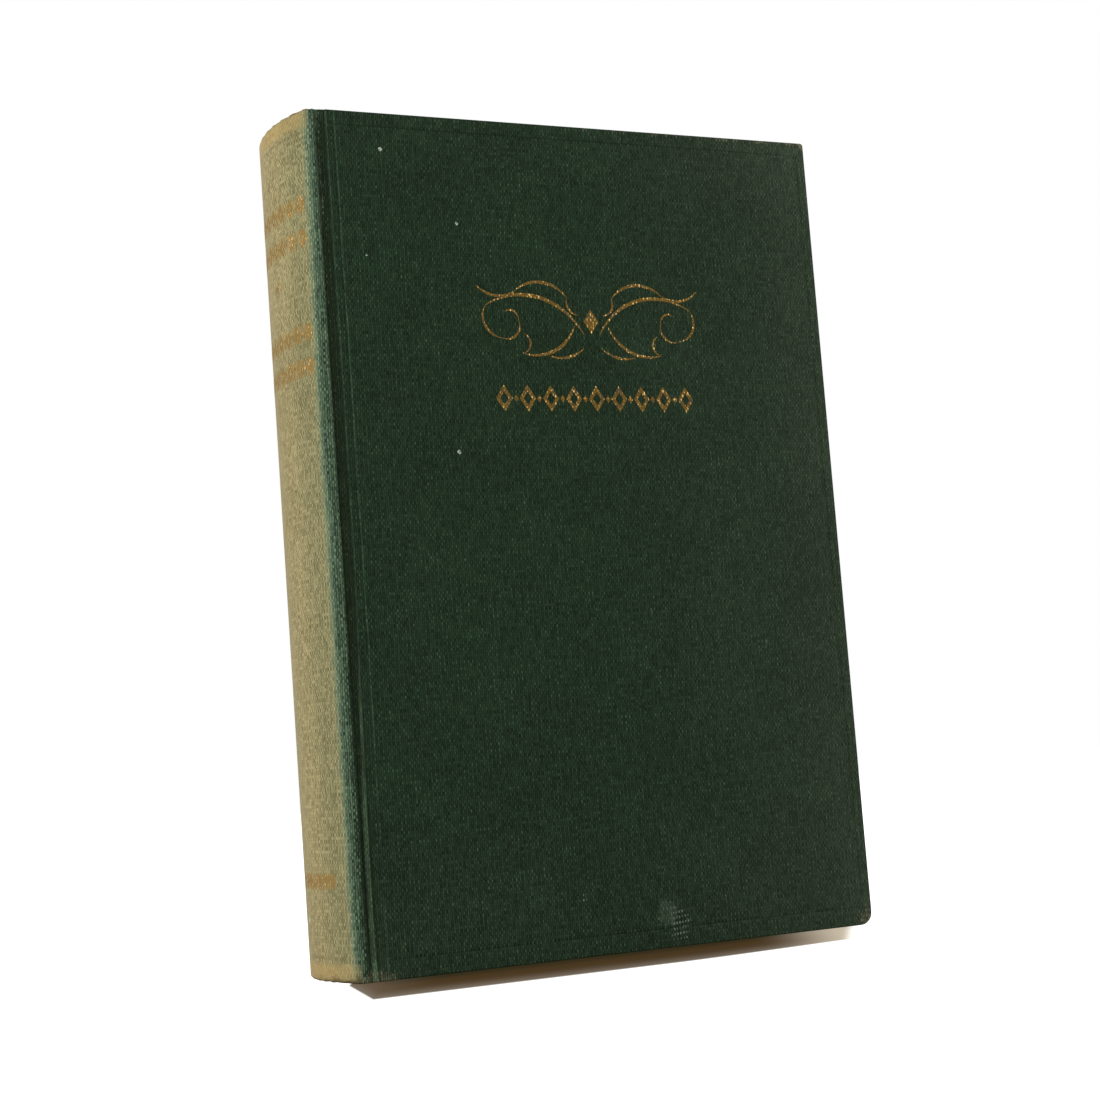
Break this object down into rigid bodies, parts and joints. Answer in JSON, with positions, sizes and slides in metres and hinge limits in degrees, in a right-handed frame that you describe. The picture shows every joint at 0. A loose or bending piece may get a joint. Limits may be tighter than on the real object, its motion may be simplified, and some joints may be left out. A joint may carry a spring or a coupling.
{
  "type": "cloth-bound hardback book",
  "caption": "Worn octavo hardback in dark green book cloth with a sun-faded rounded spine and gilt ornament; both covers open on their joints.",
  "frame": {"origin": "centre of the closed book's footprint, on the surface that it stands on", "axes": "+Z from tail to head, -Y out of the front cover, +X from the spine to the fore-edge"},
  "size_m": [0.1424, 0.035, 0.205],
  "materials": {
    "cover_cloth": "plain-weave book cloth, dark green, matt",
    "spine_cloth": "the same book cloth, sun-faded to tan olive, matt",
    "text_paper": "edges of aged uncoated paper",
    "endpaper": "uncoated endpaper, lightly toned",
    "millboard": "grey-brown millboard",
    "spine_card": "thin manila card",
    "mull": "open cotton mull, glued",
    "lining_paper": "brown kraft paper",
    "headband": "woven cotton band",
    "thread": "linen sewing thread",
    "gilt": "worn gold foil, satin"
  },
  "bodies": {
    "block": {"text_block": "text_paper", "sewing_thread": "thread", "front_flyleaf": "endpaper", "back_flyleaf": "endpaper", "spine_mull": "mull", "spine_lining": "lining_paper", "head_band": "headband", "tail_band": "headband", "spine_stiffener": "spine_card", "spine_cloth": "spine_cloth", "spine_gilding": "gilt"},
    "front_cover": {"front_board": "millboard", "front_cloth": "cover_cloth", "front_gilding": "gilt", "front_mull_flap": "mull", "front_pastedown": "endpaper"},
    "back_cover": {"back_board": "millboard", "back_cloth": "cover_cloth", "back_mull_flap": "mull", "back_pastedown": "endpaper"}
  },
  "joints": [
    {"name": "front_hinge", "type": "hinge", "parent": "block", "child": "front_cover", "pos_m": [-0.0642, -0.0178, 0.1025], "axis": [0, 0, -1], "range_deg": [0, 178]},
    {"name": "back_hinge", "type": "hinge", "parent": "block", "child": "back_cover", "pos_m": [-0.0642, 0.0178, 0.1025], "axis": [0, 0, 1], "range_deg": [0, 178]}
  ]
}
